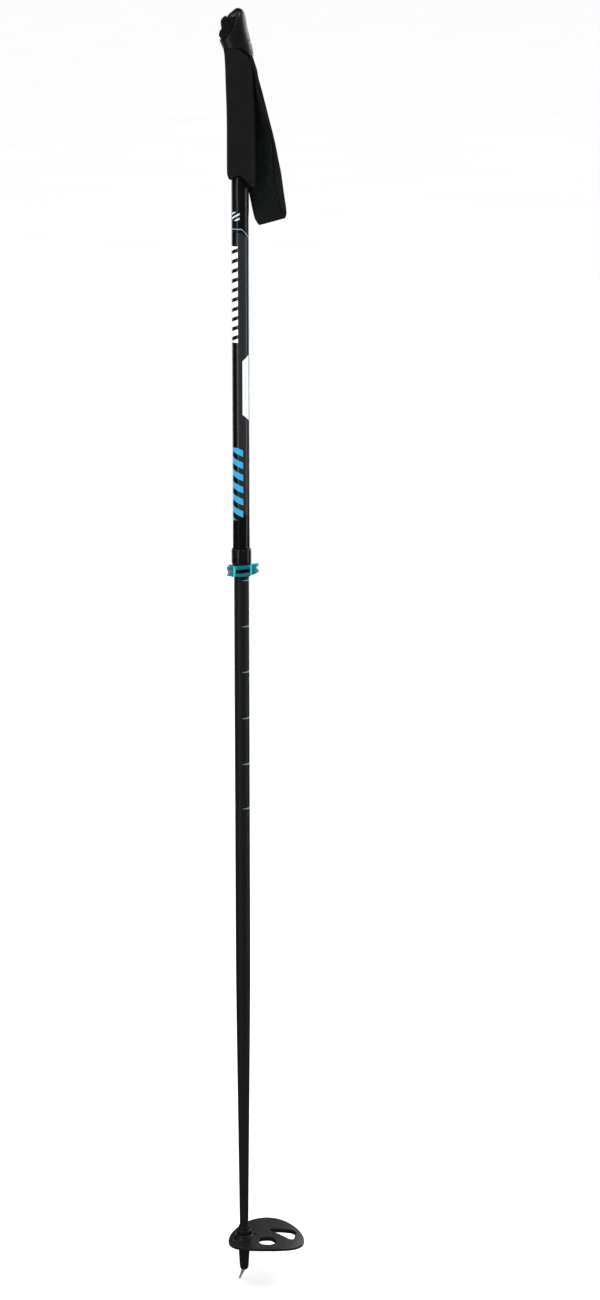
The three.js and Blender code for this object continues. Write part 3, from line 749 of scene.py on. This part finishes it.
sleeve_shape = sheet_of(foam_wall, 96, 70)
bmesh.ops.remove_doubles(sleeve_shape, verts=sleeve_shape.verts, dist=1e-4)
rims = [e for e in sleeve_shape.edges if e.is_boundary]
pulled = bmesh.ops.extrude_edge_only(sleeve_shape, edges=rims)["geom"]
for vert in (g for g in pulled if isinstance(g, bmesh.types.BMVert)):
    at_foot = vert.co.z < 1300
    inward = (FOAM_BORE if at_foot else FOAM_TOP_BORE) / math.hypot(vert.co.x, vert.co.y)
    vert.co.x, vert.co.y = vert.co.x * inward, vert.co.y * inward
    vert.co.z += 1.5 if at_foot else 0
bores = [e for e in sleeve_shape.edges if e.is_boundary]
bmesh.ops.bridge_loops(sleeve_shape, edges=bores)
bmesh.ops.recalc_face_normals(sleeve_shape, faces=sleeve_shape.faces)
lips = [
    e for e in sleeve_shape.edges
    if e.is_manifold and e.calc_face_angle(0) > math.radians(48) and max(v.co.z for v in e.verts) < 1300
    and all(math.hypot(v.co.x, v.co.y) > 11 for v in e.verts)
]
bmesh.ops.bevel(
    sleeve_shape, geom=lips, offset=1.7, offset_type="OFFSET", segments=4, profile=0.5,
    affect="EDGES", material=-1,
    clamp_overlap=True,
)
grip_foam = piece(
    "grip_foam_sleeve", sleeve_shape, eva_foam(), "upper_section", ["grip_foam"], sharp=60,
)

# %% [markdown]
# ## Wrist strap
#
# The strap is one length of flat nylon webbing. Both its tails go through the head, under a pin
# and behind the lock, and the loop hangs down behind the grip. It leaves the head edge on to the
# hand, turns flat as it comes down, and goes round in a slanting fold at its lowest point. Cloth
# simulation would let it swing away from this pose, so it is laid out instead: a route of points, each
# with the webbing's turn and width, carries a flat grid, whose fine cross ribs are real relief.

# %% The strap's route
near_run = [
    (-10.2, 0, 1386.6, 0, 14), (-4.6, 0, 1379.6, 0, 14), (-0.4, 0, 1371.4, 0, 14),
    (4.6, 0, 1360.4, 0, 14), (8.6, 0, 1352.6, 0, 14.2), (10.8, 0, 1347.6, 0, 14.4),
    (12.7, 0, 1342.6, 0, 15), (15.2, 0, 1336, 0, 16), (16.6, 0, 1328, 3, 17),
    (17.2, 0.5, 1316, 12, 20), (17.8, 2, 1304, 28, 22.5), (18.6, 5, 1290, 45, 25),
    (19.2, 8, 1279, 60, 26), (19.6, 10, 1255, 69, 27), (19.9, 10.4, 1230, 73, 27),
    (21.4, 9, 1219, 80, 27), (24.4, 6.4, 1204, 86, 27), (27.8, 4.2, 1190, 90, 27),
]
fold = [(30.2, 3.9, 1186, 90, 27), (32.4, 6, 1183.8, 90, 27), (34.0, 8.1, 1186, 90, 27)]
far_run = [
    (34.4, 8.2, 1190.4, 90, 27), (32.4, 8.8, 1204, 90, 27), (30.2, 10.5, 1219, 86, 27),
    (28.2, 11.5, 1233, 82, 27), (26.0, 12, 1245, 76, 27), (24.2, 12, 1257, 69, 27),
    (22.5, 11, 1269, 61, 26.6), (21.0, 9, 1281, 50, 26), (20.0, 6.5, 1293, 40, 24.6),
    (19.7, 4, 1304, 28, 22.6), (19.3, 1.6, 1316, 15, 20), (18.2, 0.4, 1327, 4, 17),
    (16.9, 0, 1335, 0, 16), (14.4, 0, 1343.0, 0, 15), (12.7, 0, 1348.2, 0, 14.6),
    (10.4, 0, 1353.2, 0, 14.2), (6.3, 0, 1361.2, 0, 14), (1.3, 0, 1372.2, 0, 14),
    (-3.0, 0, 1380.6, 0, 14), (-8.4, 0, 1387.6, 0, 14),
]
strap_rows = near_run + fold + far_run
STRAP_WIDTH, STRAP_THICK = 27, 1.6
RIB_PITCH, RIB_HEIGHT = 2.2, 0.11
FOLD_RISE, RISE_START, RISE_RUN = 0.27, 1255, 60

ways = [0.0]
for start, end in zip(strap_rows, strap_rows[1:]):
    ways.append(ways[-1] + (Vector(end[:3]) - Vector(start[:3])).length)
STRAP_LENGTH = ways[-1]
strap_line = [(way, Vector(row[:3])) for way, row in zip(ways, strap_rows)]
strap_turns = [(way, row[3]) for way, row in zip(ways, strap_rows)]
strap_widths = [(way, row[4]) for way, row in zip(ways, strap_rows)]
print("webbing:", round(STRAP_LENGTH), "mm long")


def strap_at(u, v):
    """A place on the webbing's middle layer, across and along it; its rows crowd at the edges."""
    way = v * STRAP_LENGTH
    middle = follow(strap_line, way)
    ahead = follow(strap_line, way + 0.5) - follow(strap_line, way - 0.5)
    turn = math.radians(follow(strap_turns, way))
    rise = FOLD_RISE * min(max((RISE_START - middle.z) / RISE_RUN, 0), 1)
    across = Vector((math.sin(turn), -math.cos(turn), rise)).normalized()
    rib = ahead.cross(across).normalized() * RIB_HEIGHT * math.cos(2 * math.pi * way / RIB_PITCH)
    return middle + across * (-math.cos(math.pi * u) * follow(strap_widths, way) / 2) + rib


# %% Webbing
WAVE_TURN = 2 * math.pi / 20


def woven_webbing():
    """Woven nylon: fine warp threads along it, painted shade in the furrows between its ribs, and a dull
    sheen.
    """
    # real warp threads are near 0.5 mm; they are drawn coarser, so that they show beside the ribs
    warp_mm = 1.1
    material, tree, shader = finish(
        "woven_nylon_webbing", Roughness=0.80, IOR=1.5, Specular_IOR_Level=0.25,
        Sheen_Weight=0.04, Sheen_Roughness=0.5,
    )
    laid = add(tree, "TexCoord").outputs["UV"]
    threads = add(
        tree, "TexWave", {"Vector": laid, "Scale": WAVE_TURN * 1000 / warp_mm}, bands_direction="X",
    )
    ribs = add(
        tree, "TexWave", {"Vector": laid, "Scale": WAVE_TURN * 1000 / RIB_PITCH}, bands_direction="Y",
    )
    weave_relief_and_shade = add(tree, "Math", {0: threads.outputs["Fac"], 1: ribs.outputs["Fac"]}, operation="MULTIPLY")
    # Painted shade: the colour drops to near black in the furrows and between threads, and rises to grey on
    # the rib tops, over the ribs' real relief.
    colour = add(
        tree, "Mix", {"Factor": weave_relief_and_shade.outputs[0], 6: linear("#020303"), 7: linear("#1f272b")},
        data_type="RGBA",
    )
    relief = add(tree, "Bump", {"Height": weave_relief_and_shade.outputs[0], "Distance": 0.00015, "Strength": 0.8})
    tree.links.new(colour.outputs[2], shader.inputs["Base Color"])
    tree.links.new(relief.outputs["Normal"], shader.inputs["Normal"])
    return material


# %% The strap
STRAP_STEPS = round(STRAP_LENGTH / RIB_PITCH * 6)
flat_ribbon = sheet_of(strap_at, 14, STRAP_STEPS, cut=(STRAP_WIDTH / 1000, STRAP_LENGTH / 1000))
ribbon = worked(
    flat_ribbon, ("SOLIDIFY", {"thickness": STRAP_THICK, "offset": 0, "use_even_offset": True}),
)
bmesh.ops.recalc_face_normals(ribbon, faces=ribbon.faces)
wrist_strap = piece(
    "wrist_strap_webbing", ribbon, woven_webbing(), None,
    ["strap_loop", "strap_anchor"], sharp=60,
)
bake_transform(wrist_strap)

# %% [markdown]
# ## Clamp housing
#
# The clamp grips the lower tube. Its housing is a black moulded sleeve on the upper tube's end,
# split down its front, with two ears that a screw pulls together. Turning gives the sleeve, and
# two blocks and a few cuts give the ears. The sleeve is a little fuller above the lever than
# behind it. The whole is then run into one skin, so that each ear grows out of the sleeve in a
# small soft fillet.

# %% The housing
housing_low, housing_high = heights("clamp_housing")
NARROW_R, HOUSING_BORE = radius("clamp_housing"), UPPER_R + 0.2
HOUSING_R, STEP_Z = NARROW_R + 0.6, 825.6
PIVOT_X, PIVOT_Y, SCREW_Z = -11.8, -7.4, 818.4
EAR_LOW, EAR_HIGH = 815, 821.8
# This one comes from a smoother mould, so the sleeve and its shoulder take small bright lights.
satin_plastic = grained("fine_moulded_plastic", "#0a0b0d", "#101113", 0.6, 0.01, 0.2, IOR=1.5)


def crossways(shape, x=PIVOT_X, z=SCREW_Z):
    """Lays a shape that stands on the shaft axis along Y, at the screw."""
    shape.transform(Matrix.Translation((x, 0, z)) @ Matrix.Rotation(-math.pi / 2, 4, "X"))
    return shape


SHOULDER_LOW, SHOULDER_HIGH = housing_high - 6.4, housing_high - 3.4
shoulder = bend(
    (HOUSING_R, SHOULDER_LOW), (HOUSING_R, SHOULDER_HIGH), (HOUSING_BORE + 0.1, SHOULDER_HIGH), 8,
)
sleeve = spun(
    [
        (HOUSING_BORE, housing_low), (NARROW_R - 0.3, housing_low), (NARROW_R, housing_low + 0.6),
        (NARROW_R, STEP_Z), (HOUSING_R, STEP_Z + 1.2), (HOUSING_R, SHOULDER_LOW), *shoulder,
        (HOUSING_BORE, SHOULDER_HIGH),
    ],
    closed=True,
)
near_ear = block((PIVOT_X - 2.6, -6.5), (-3.3, -0.9), (EAR_LOW, EAR_HIGH))
far_ear = block((PIVOT_X - 2.6, -6.5), (0.9, 3.8), (EAR_LOW, EAR_HIGH))
housing = worked(
    together(sleeve, near_ear, far_ear),
    less(block((-20, -8), (-0.9, 0.9), (800, 838))),
    less(cylinder(HOUSING_BORE, 800, 850)),
    less(crossways(cylinder(1.8, -20, 20))),
    *moulded(0.3, 3),
)
piece(
    "clamp_housing_moulded", housing, satin_plastic, "upper_section",
    ["clamp_housing"], sharp=180,
)

# %% [markdown]
# ## Clamp lever
#
# The lever is the one bright piece: aluminium, anodised teal. A knuckle turns on an upright barrel
# beside the ears, a band lies round the housing, and a forked finger tab flares off it at the
# back. The plan is an outline of arcs and bends, raised to the band's height. A window lightens
# the band, and slanting cuts taper the tab.

# %% Metal finishes
def fine_metal(name, dark, light, metallic, roughness):
    """Dyed, plated or ground metal: two close tones and a fine grain that spreads each light."""
    # real grain is near 0.1 mm; it is drawn coarser, so that it still shows from an arm's length
    grain_mm = 0.5
    material, tree, shader = finish(name, Metallic=metallic)
    place = add(tree, "TexCoord").outputs["Object"]
    grain = add(tree, "TexNoise", {"Vector": place, "Scale": 1000 / grain_mm, "Detail": 2})
    colour = add(
        tree, "Mix", {"Factor": grain.outputs["Fac"], 6: linear(dark), 7: linear(light)}, data_type="RGBA",
    )
    gloss = add(
        tree, "MapRange",
        {"Value": grain.outputs["Fac"], "To Min": roughness - 0.07, "To Max": roughness + 0.07},
    )
    relief = add(tree, "Bump", {"Height": grain.outputs["Fac"], "Distance": 0.00002, "Strength": 0.6})
    tree.links.new(colour.outputs[2], shader.inputs["Base Color"])
    tree.links.new(gloss.outputs["Result"], shader.inputs["Roughness"])
    tree.links.new(relief.outputs["Normal"], shader.inputs["Normal"])
    return material


# %% The lever
lever_low, lever_high = heights("clamp_lever")
KNUCKLE_R, BARREL_R = 3.5, 2.0
LEVER_SLOPE, LEVER_DROP = 0.055, 0.5
INNER_R = NARROW_R + 0.5
inner_arc = [
    (INNER_R * math.cos(math.radians(a)), INNER_R * math.sin(math.radians(a))) for a in range(-5, -145, -5)
]
heel, belly, hip, tab_end = (PIVOT_X + 1.0, PIVOT_Y - 3.2), (-0.5, -13.4), (12.2, -7.0), (18.6, 0.4)
lever_plan = [
    *inner_arc, heel, *bend(heel, (-6.5, -13.2), belly), *bend(belly, (7.5, -13.2), hip),
    *bend(hip, (14.6, -3.2), tab_end), (17.2, 2.6), *bend((17.2, 2.6), (13.4, 1.6), (10.9, 0.4)),
]
screw_room = worked(
    cylinder(KNUCKLE_R + 1.2, SCREW_Z - 2.2, SCREW_Z + 2.2, (PIVOT_X, PIVOT_Y)),
    less(block((PIVOT_X + 0.8, 5), (-30, PIVOT_Y - 1.4), (800, 850))),
    less(block((-8.6, 5), (-30, 10), (800, 850))),
)
window = [(-5.6, 817.4), (-5.6, 821.6), (9.0, 821.8), (9.0, 817.4)]
notch = [(14.8, 820.2), (20, 823.6), (20, 816.0)]
under_tab, over_tab = [(9, 813), (20, 813), (20, 815.6)], [(9, 826), (20, 826), (20, 824.2)]
band = extruded(lever_plan, lever_low, lever_high, "Z")
knuckle = cylinder(KNUCKLE_R, lever_low + 0.8, lever_high - 0.8, (PIVOT_X, PIVOT_Y))
lever = worked(
    together(band, knuckle),
    less(cylinder(NARROW_R + 0.4, 800, 850)),
    less(cylinder(BARREL_R + 0.3, 800, 850, (PIVOT_X, PIVOT_Y))),
    less(screw_room),
    less(extruded(window, -20, -4)), less(extruded(notch, -10, 10)),
    less(extruded(under_tab, -20, 10)), less(extruded(over_tab, -20, 10)),
    *moulded(0.24, 4),
)
for vert in lever.verts:
    vert.co.z += LEVER_SLOPE * vert.co.x - LEVER_DROP
# The dye stays clear over the bright metal, so it reads as coloured metal and not as paint.
teal = fine_metal("teal_anodised_aluminium", "#1b93a1", "#34bcc8", 0.70, 0.22)
piece(
    "clamp_lever_anodised", lever, teal, "clamp_lever", ["clamp_lever"], sharp=180,
)

# %% [markdown]
# ## Screw, barrel, washer and liner
#
# These small turned pieces are what the clamp works with. A steel screw with a slotted pan head
# runs through both ears into the barrel that the lever turns on, and a split nylon liner lies
# between the housing and the lower tube. Each is one turned profile, with a cut or two.

# %% Steel and nylon
# Plating leaves small steel pieces pale and half dull. Uncoloured nylon is milky and quite matt.
zinc = fine_metal("zinc_plated_steel", "#8b8d90", "#b4b6b8", 0.6, 0.34)
nylon = grained("moulded_white_nylon", "#cfcfc8", "#dedfd8", 1.4, 0.02, 0.5, IOR=1.53)

# %% Turned clamp pieces
shank_and_head = spun([
    (0, -8.3), (1.2, -8.3), (1.5, -8.0), (1.5, 5.0), (2.5, 5.0), (2.5, 6.0), (2.1, 6.9), (1.2, 7.2),
    (0, 7.2),
], steps=48)
slot = block((PIVOT_X - 4, PIVOT_X + 4), (6.3, 8), (SCREW_Z - 0.4, SCREW_Z + 0.4))
screw = worked(crossways(shank_and_head), less(slot))
piece("clamp_screw_slotted", eased(screw, 0.08), zinc, "clamp_screw", ["clamp_screw"])
washer = crossways(spun([(1.75, 4.1), (2.5, 4.1), (2.5, 4.7), (1.75, 4.7)], steps=48, closed=True))
piece("screw_washer_flat", eased(washer, 0.1), zinc, "upper_section", ["screw_washer"])

barrel_low, barrel_high = heights("lever_pivot_pin")
plain_barrel = cylinder(BARREL_R, barrel_low, barrel_high, (PIVOT_X, PIVOT_Y))
barrel = worked(plain_barrel, less(crossways(cylinder(1.8, PIVOT_Y - 1.2, 0))))
piece("lever_pivot_barrel", eased(barrel, 0.2), zinc, "upper_section", ["lever_pivot_pin"])

liner_low, liner_high = heights("clamp_liner")
LINER_R = radius("clamp_liner")
LINER_BORE = LINER_R - 0.7
plain_liner = spun(
    [(LINER_BORE, liner_low), (LINER_R, liner_low), (LINER_R, liner_high), (LINER_BORE, liner_high)],
    closed=True,
)
liner = worked(plain_liner, less(block((-20, 0), (-0.5, 0.5), (800, 850))))
piece("clamp_liner_split", eased(liner, 0.08), nylon, "upper_section", ["clamp_liner"])

# %% Finishes on the frame's own hidden pieces
hidden_finishes = {"top_plug": nylon, "guide_bush": nylon, "cam_plate": zinc, "strap_pin": zinc}
for node, material in hidden_finishes.items():
    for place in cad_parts[node].material_slots:
        place.material = material
    print(node, "takes", material.name)

# %% [markdown]
# ## Basket
#
# The basket keeps the pole from sinking into snow. It is one moulding in black plastic: an
# off-centre oval plate that arches up towards the middle, a rim turned down round it, two windows
# with deep collars that shed snow, and a stepped hub on the ferrule with a short rib beside it.
# Flat slabs are easy to cut, so each part is cut flat first, sliced into strips, bent to one arch
# formula, and all are then run into one skin.

# %% The arch
BASKET_MIDDLE, BASKET_END_Z, BASKET_RISE = 25, 46.5, 8.9
plate_low, plate_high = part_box("basket")
BASKET_RX, BASKET_RY = (plate_high.x - plate_low.x) * 500, plate_high.y * 1000
FERRULE_R = radius("tip_ferrule")
PLATE_THICK, RIM_DEPTH, RIM_WIDTH, COLLAR_DEPTH, COLLAR_WIDTH = 2.2, 3.0, 1.8, 5.2, 1.6


def arched(slab, depth):
    """A slab from z 0 to 1, sliced every few millimetres and bent to the basket's arch."""
    for x in range(-20, 70, 3):
        everything = slab.verts[:] + slab.edges[:] + slab.faces[:]
        bmesh.ops.bisect_plane(slab, geom=everything, plane_co=(x, 0, 0), plane_no=(1, 0, 0))
    for vert in slab.verts:
        out = (vert.co.x - BASKET_MIDDLE) / (BASKET_RX + 1)
        top = BASKET_END_Z + BASKET_RISE * (1 - out * out)
        vert.co.z = top if vert.co.z > 0.5 else top - depth
    return slab


def oval(inset=0, low=0, high=1):
    """The basket's outline as an upright slab."""
    shape = cylinder(1, low, high, sides=128)
    size = Matrix.Diagonal((BASKET_RX - inset, BASKET_RY - inset, 1, 1))
    shape.transform(Matrix.Translation((BASKET_MIDDLE, 0, 0)) @ size)
    return shape


def teardrop(ends, grown=0, low=0, high=1):
    """An upright slab round two circles, [x, y, radius] each."""
    rounds = together(*(cylinder(r + grown, low, high, (x, y), 48) for x, y, r in ends))
    hull = bmesh.new()
    corners = [hull.verts.new(v.co) for v in rounds.verts]
    rounds.free()
    spare = bmesh.ops.convex_hull(hull, input=corners)
    unused = {g for g in spare["geom_interior"] + spare["geom_unused"] if isinstance(g, bmesh.types.BMVert)}
    bmesh.ops.delete(hull, geom=list(unused), context="VERTS")
    bmesh.ops.dissolve_limit(hull, angle_limit=0.01, verts=hull.verts, edges=hull.edges)
    return hull


# %% The basket
long_window = [(31.0, 8.8, 2.4), (53, 11.0, 5), (51.5, -3.0, 4.6)]
short_window = [(20.6, -14.0, 3.4), (26.4, -19.2, 9.6)]
rim = worked(oval(), less(oval(RIM_WIDTH, -1, 2)))
hub = spun([
    (0, 42), (9, 42), (11.4, 46.4), (12.4, 50.0), (11.8, 52.2), (11.2, 53.4), (11.0, 55.0), (10.4, 55.8),
    (9.6, 55.8), (9.1, 55.0), (8.9, 53.4), (7.9, 53.4), (7.7, 57.2), (8.2, 58.4), (8.2, 60.2),
    (7.6, 61), (0, 61),
])
hub_rib = [(9, 44), (16, 47), (22, 52), (22, 55.0), (16, 55.4), (9, 57)]
basket = worked(
    together(
        arched(oval(), PLATE_THICK), arched(rim, RIM_DEPTH),
        arched(teardrop(long_window, COLLAR_WIDTH), COLLAR_DEPTH),
        arched(teardrop(short_window, COLLAR_WIDTH), COLLAR_DEPTH), hub, extruded(hub_rib, -1.1, 1.1),
    ),
    less(teardrop(long_window, 0, 20, 80)), less(teardrop(short_window, 0, 20, 80)),
    less(cylinder(FERRULE_R + 0.15, 20, 80)),
    *moulded(0.45, 4),
)
# A shade paler than the head and just as dull, as plastic is that bends and scrapes on snow.
basket_plastic = grained("moulded_basket_plastic", "#0e1011", "#151718", 1.2, 0.05, 0.38, IOR=1.5)
piece(
    "basket_moulded", basket, basket_plastic, "lower_section", ["basket"], sharp=180,
)

# %% [markdown]
# ## Ferrule and spike
#
# The ferrule is pressed on the lower tube's foot and carries the basket. The spike is a hardened
# steel point, bent to the front so that it bites when the pole is planted at a slant. Both are
# turned profiles; the spike is then leant over below the ferrule.

# %% The ferrule
ferrule_low, ferrule_high = heights("tip_ferrule")
SOCKET_R = 5.2
ferrule = spun([
    (0, ferrule_low), (3.0, ferrule_low), (3.9, ferrule_low + 0.4), (4.6, ferrule_low + 1.6),
    (5.0, ferrule_low + 4.2), (5.3, ferrule_low + 8), (5.9, ferrule_low + 18),
    (FERRULE_R, ferrule_low + 26), (FERRULE_R, ferrule_high - 0.8),
    (FERRULE_R - 0.2, ferrule_high - 0.2), (FERRULE_R - 0.6, ferrule_high), (SOCKET_R, ferrule_high),
    (SOCKET_R, ferrule_low + 31.7), (0, ferrule_low + 31.7),
])
piece(
    "tip_ferrule_moulded", ferrule, basket_plastic, "lower_section", ["tip_ferrule"],
)

# %% The spike
SPIKE_SET, SPIKE_STRAIGHT = 5.4, 13.2
straight_spike = spun([(0, 0), (0.75, 0), (0.9, 0.4), (1.6, 6), (2.3, 11), (2.3, 24), (0, 24)], steps=48)
spike = worked(
    straight_spike, ("SUBSURF", {"subdivision_type": "SIMPLE", "levels": 2, "render_levels": 2}),
)
for vert in spike.verts:
    vert.co.x -= SPIKE_SET * max(0, 1 - vert.co.z / SPIKE_STRAIGHT)
# Ground steel: grey with broad lights, and the only bare metal that shows at the pole's foot.
steel = fine_metal("hardened_bright_steel", "#7b7d7f", "#9a9c9e", 0.45, 0.36)
piece("spike_hardened", spike, steel, "lower_section", ["spike"], sharp=60)
